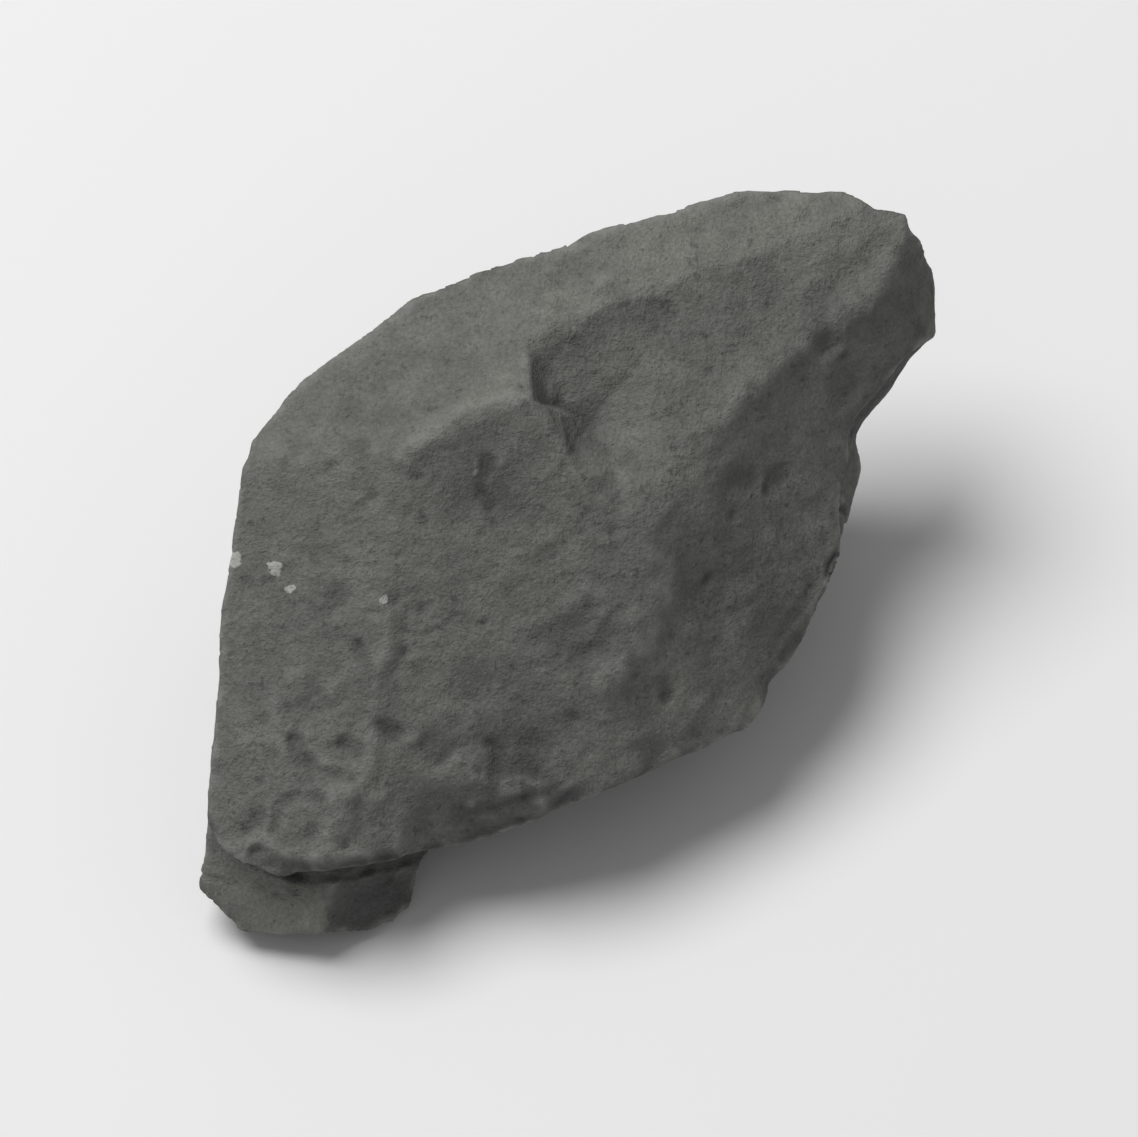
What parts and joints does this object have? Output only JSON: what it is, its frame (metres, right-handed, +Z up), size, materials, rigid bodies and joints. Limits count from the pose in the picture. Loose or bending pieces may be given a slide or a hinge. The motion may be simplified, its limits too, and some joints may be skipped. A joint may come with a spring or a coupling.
{
  "type": "shungite rock",
  "caption": "Angular lump of crushed shungite, a matt near-black carbon stone with flat and shell-shaped breaks, resting on a small flat spot.",
  "frame": {"origin": "middle of the stone's bounding box in plan, at the level of the flat resting spot", "axes": "+X along the longest side, +Y to the back away from the broad sloping face, +Z up"},
  "size_m": [0.0382, 0.034, 0.0211],
  "materials": {
    "shungite": "matt broken stone, dark grey-black with a thin film of its own pale grey dust"
  },
  "bodies": {
    "root": {"shungite_rock": "shungite"}
  },
  "joints": []
}
